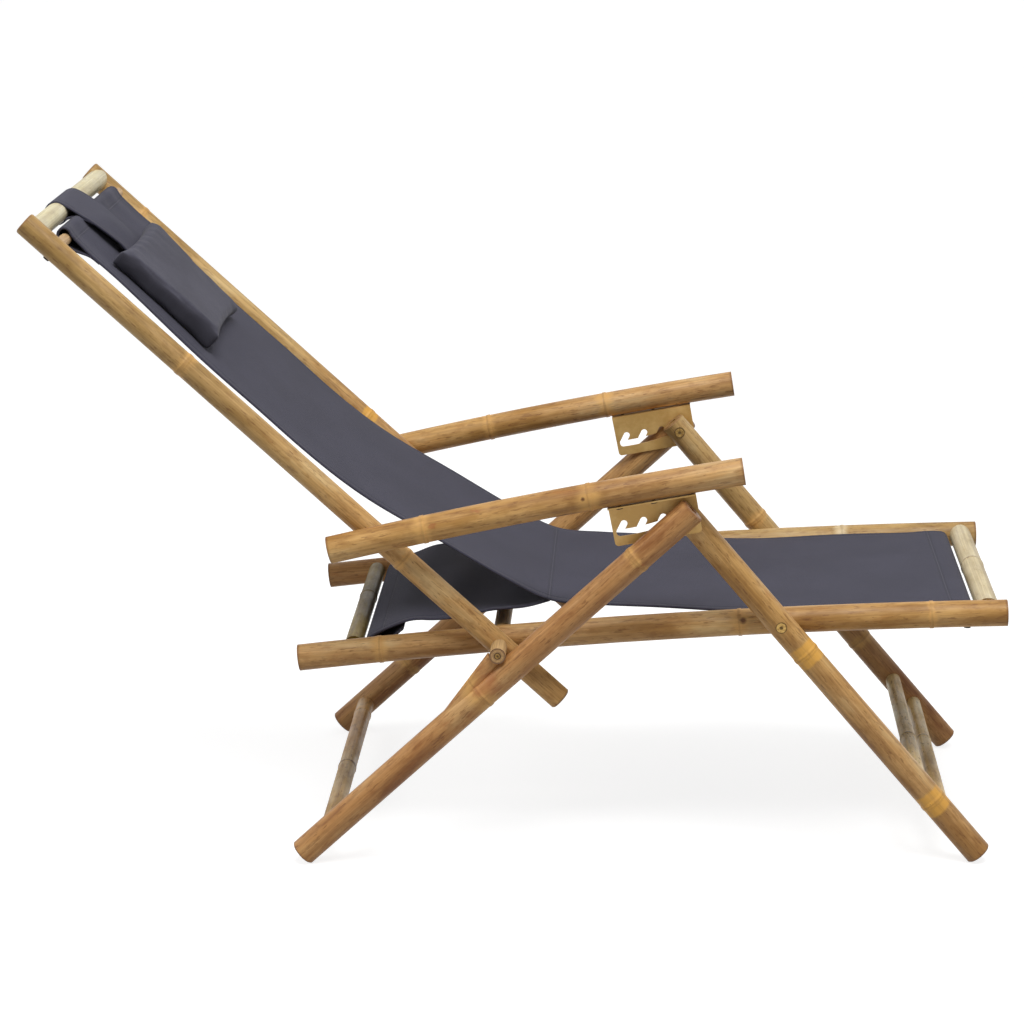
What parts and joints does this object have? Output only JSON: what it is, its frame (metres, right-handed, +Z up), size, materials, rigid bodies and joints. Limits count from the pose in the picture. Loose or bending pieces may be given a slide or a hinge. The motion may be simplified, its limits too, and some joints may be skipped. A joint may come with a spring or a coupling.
{
  "type": "reclining bamboo chair",
  "caption": "Low folding-frame lounge chair of bamboo culms with a cloth sling, a head pillow, bowed armrests and notched metal brackets that set the recline.",
  "frame": {"origin": "on the floor, under the middle of the chair's length and width", "axes": "+X towards the foot end, +Y to the sitter's left, +Z up"},
  "size_m": [1.321, 0.6365, 0.8791],
  "materials": {
    "bamboo_tan": "waxed bamboo skin, streaked tan",
    "bamboo_pale": "pale cream-green bamboo skin",
    "bamboo_grey": "grey-brown weathered bamboo skin",
    "bamboo_red": "reddish-brown bamboo skin",
    "dowel_wood": "turned wooden rod, end grain showing",
    "bracket_metal": "gold-khaki painted sheet steel",
    "brass": "brass-coloured cross-head bolts",
    "black_screw": "blackened screws",
    "sling_cloth": "dark grey-blue woven cloth",
    "pillow_cloth": "dark grey-blue woven cloth",
    "filling": "loose polyester filling"
  },
  "bodies": {
    "base": {"seat_rail_left": "bamboo_tan", "seat_rail_right": "bamboo_tan", "front_crossbar": "bamboo_pale", "rear_crossbar": "bamboo_grey", "front_sling_rod": "dowel_wood", "rear_sling_rod": "dowel_wood", "front_rod_screws": "black_screw", "pivot_dowel": "dowel_wood", "dowel_end_screws": "brass", "front_leg_left": "bamboo_tan", "front_leg_right": "bamboo_tan", "front_stretcher_upper": "bamboo_grey", "front_stretcher_lower": "bamboo_grey", "leg_top_bolts": "brass", "seat_bolts": "brass", "seat_sling": "sling_cloth", "sling_tail": "sling_cloth"},
    "back_frame": {"back_pole_left": "bamboo_tan", "back_pole_right": "bamboo_tan", "top_rail": "bamboo_pale", "upper_sling_rod": "dowel_wood", "upper_rod_screws": "black_screw", "armrest_bolts": "brass", "armrest_washers": "brass", "back_sling": "sling_cloth"},
    "armrest_left": {"armrest_left": "bamboo_tan", "notched_bracket_left": "bracket_metal", "bracket_screws_left": "black_screw"},
    "armrest_right": {"armrest_right": "bamboo_tan", "notched_bracket_right": "bracket_metal", "bracket_screws_right": "black_screw"},
    "rear_legs": {"rear_leg_left": "bamboo_red", "rear_leg_right": "bamboo_red", "rear_stretcher": "bamboo_grey"},
    "pillow": {"pillow_cover": "pillow_cloth", "pillow_filling": "filling", "pillow_strap": "pillow_cloth"}
  },
  "joints": [
    {"name": "back_recline", "type": "hinge", "parent": "base", "child": "back_frame", "pos_m": [-0.02455, 0, 0.2985], "axis": [0, 1, 0], "range_deg": [0, 23], "deforming": ["back_sling"]},
    {"name": "armrest_left_tilt", "type": "hinge", "parent": "back_frame", "child": "armrest_left", "pos_m": [-0.19282, 0.2958, 0.45161], "axis": [0, -1, 0], "range_deg": [0, 17.94]},
    {"name": "armrest_right_tilt", "type": "hinge", "parent": "back_frame", "child": "armrest_right", "pos_m": [-0.19282, -0.2958, 0.45161], "axis": [0, -1, 0], "range_deg": [0, 17.94]},
    {"name": "rear_legs_swing", "type": "hinge", "parent": "base", "child": "rear_legs", "pos_m": [0.22095, 0, 0.486], "axis": [0, -1, 0], "range_deg": [0, 82]},
    {"name": "pillow_lift", "type": "hinge", "parent": "back_frame", "child": "pillow", "pos_m": [-0.63703, 0, 0.85717], "axis": [0, -1, 0], "range_deg": [0, 110]}
  ],
  "couplings": [
    {"joint": "armrest_left_tilt", "follows": "back_recline", "ratio": 0.78},
    {"joint": "armrest_right_tilt", "follows": "back_recline", "ratio": 0.78}
  ]
}
